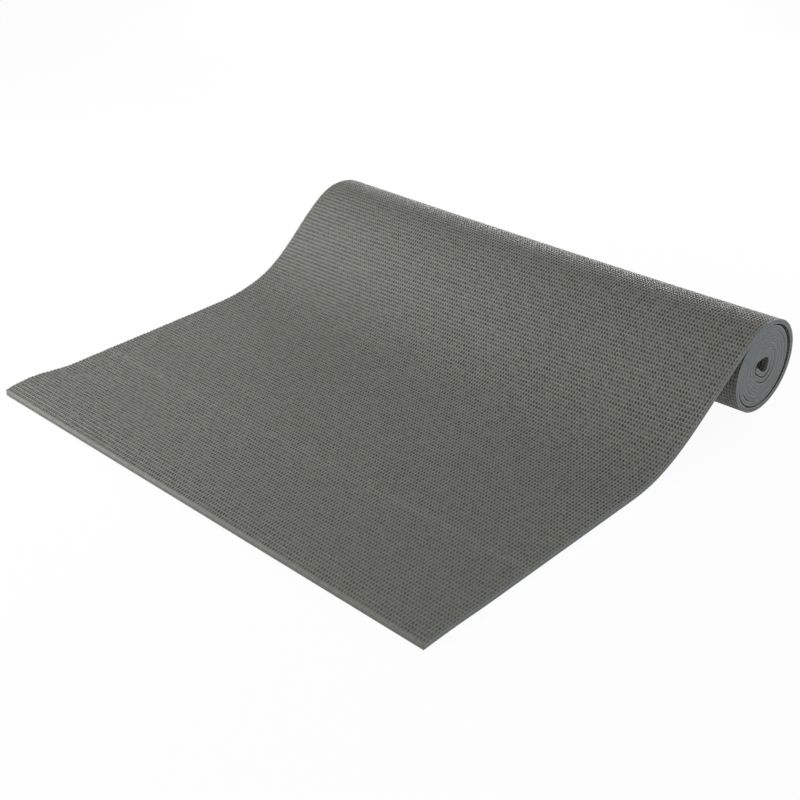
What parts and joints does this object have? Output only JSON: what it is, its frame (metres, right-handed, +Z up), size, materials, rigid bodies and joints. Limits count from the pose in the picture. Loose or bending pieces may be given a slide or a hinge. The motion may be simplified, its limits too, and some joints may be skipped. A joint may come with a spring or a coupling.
{
  "type": "fitness mat",
  "caption": "Foam fitness mat, partly unrolled: a flat panel with a front flap rises over a wound roll whose outer turn opens.",
  "frame": {"origin": "centre of the bounding box at the floor", "axes": "+X along the roll and across the mat, +Y from the mat's front edge to the roll, +Z up"},
  "size_m": [0.61, 0.5658, 0.1004],
  "materials": {
    "foam": "dark olive grey closed-cell foam, moulded with small pits, satin",
    "scrim": "open-weave polyester mesh, matt"
  },
  "bodies": {
    "front_flap": {"front_flap_upper_foam": "foam", "front_flap_scrim": "scrim", "front_flap_lower_foam": "foam"},
    "flat_panel": {"flat_panel_upper_foam": "foam", "flat_panel_scrim": "scrim", "flat_panel_lower_foam": "foam"},
    "rising_panel": {"rising_panel_upper_foam": "foam", "rising_panel_scrim": "scrim", "rising_panel_lower_foam": "foam"},
    "outer_turn_top": {"outer_turn_top_upper_foam": "foam", "outer_turn_top_scrim": "scrim", "outer_turn_top_lower_foam": "foam"},
    "outer_turn_back": {"outer_turn_back_upper_foam": "foam", "outer_turn_back_scrim": "scrim", "outer_turn_back_lower_foam": "foam"},
    "outer_turn_bottom": {"outer_turn_bottom_upper_foam": "foam", "outer_turn_bottom_scrim": "scrim", "outer_turn_bottom_lower_foam": "foam"},
    "roll_core": {"roll_core_upper_foam": "foam", "roll_core_scrim": "scrim", "roll_core_lower_foam": "foam"}
  },
  "joints": [
    {"name": "flap_lift", "type": "hinge", "parent": "flat_panel", "child": "front_flap", "pos_m": [0, -0.19491, 0.0053], "axis": [-1, 0, 0], "range_deg": [0, 170]},
    {"name": "roll_lift", "type": "hinge", "parent": "flat_panel", "child": "rising_panel", "pos_m": [0, 0.00689, 0.0053], "axis": [1, 0, 0], "range_deg": [0, 130]},
    {"name": "turn_open", "type": "hinge", "parent": "rising_panel", "child": "outer_turn_top", "pos_m": [0, 0.19239, 0.0921], "axis": [1, 0, 0], "range_deg": [0, 60]},
    {"name": "turn_open_back", "type": "hinge", "parent": "outer_turn_top", "child": "outer_turn_back", "pos_m": [0, 0.26621, 0.0851], "axis": [1, 0, 0], "range_deg": [0, 60]},
    {"name": "turn_open_bottom", "type": "hinge", "parent": "outer_turn_back", "child": "outer_turn_bottom", "pos_m": [0, 0.26176, 0.00955], "axis": [1, 0, 0], "range_deg": [0, 60]},
    {"name": "turn_open_core", "type": "hinge", "parent": "outer_turn_bottom", "child": "roll_core", "pos_m": [0, 0.18891, 0.01568], "axis": [1, 0, 0], "range_deg": [0, 60]}
  ],
  "couplings": [
    {"joint": "turn_open_back", "follows": "turn_open", "ratio": 1},
    {"joint": "turn_open_bottom", "follows": "turn_open", "ratio": 1},
    {"joint": "turn_open_core", "follows": "turn_open", "ratio": 1}
  ]
}
